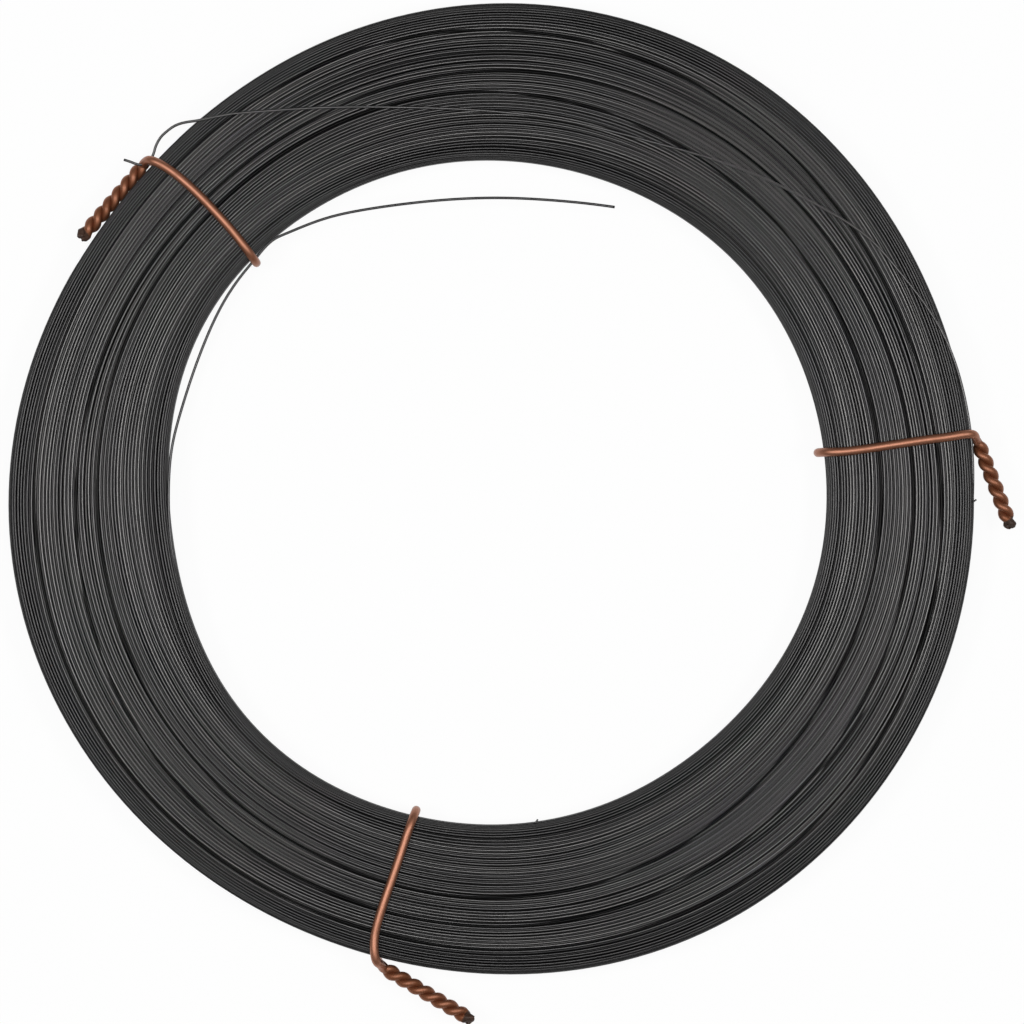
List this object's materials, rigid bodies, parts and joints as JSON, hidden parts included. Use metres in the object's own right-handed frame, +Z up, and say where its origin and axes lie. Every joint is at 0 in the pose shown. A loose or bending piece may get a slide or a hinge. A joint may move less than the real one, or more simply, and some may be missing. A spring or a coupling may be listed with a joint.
{
  "type": "coil of music wire",
  "caption": "Flat round coil of fine drawn steel music wire, held together by twisted copper tie wires.",
  "frame": {"origin": "on the coil's axis, level with the undersides of the ties on which it lies", "axes": "+Z up along the coil's axis, +X towards the right of the picture and +Y towards its top"},
  "size_m": [0.1864, 0.188, 0.011],
  "materials": {
    "music_wire": "dark drawn satin",
    "tie_copper": "satin bare copper, browned along the twists"
  },
  "bodies": {
    "root": {"music_wire": "music_wire", "tie_left": "tie_copper", "tie_right": "tie_copper", "tie_bottom": "tie_copper"}
  },
  "joints": []
}
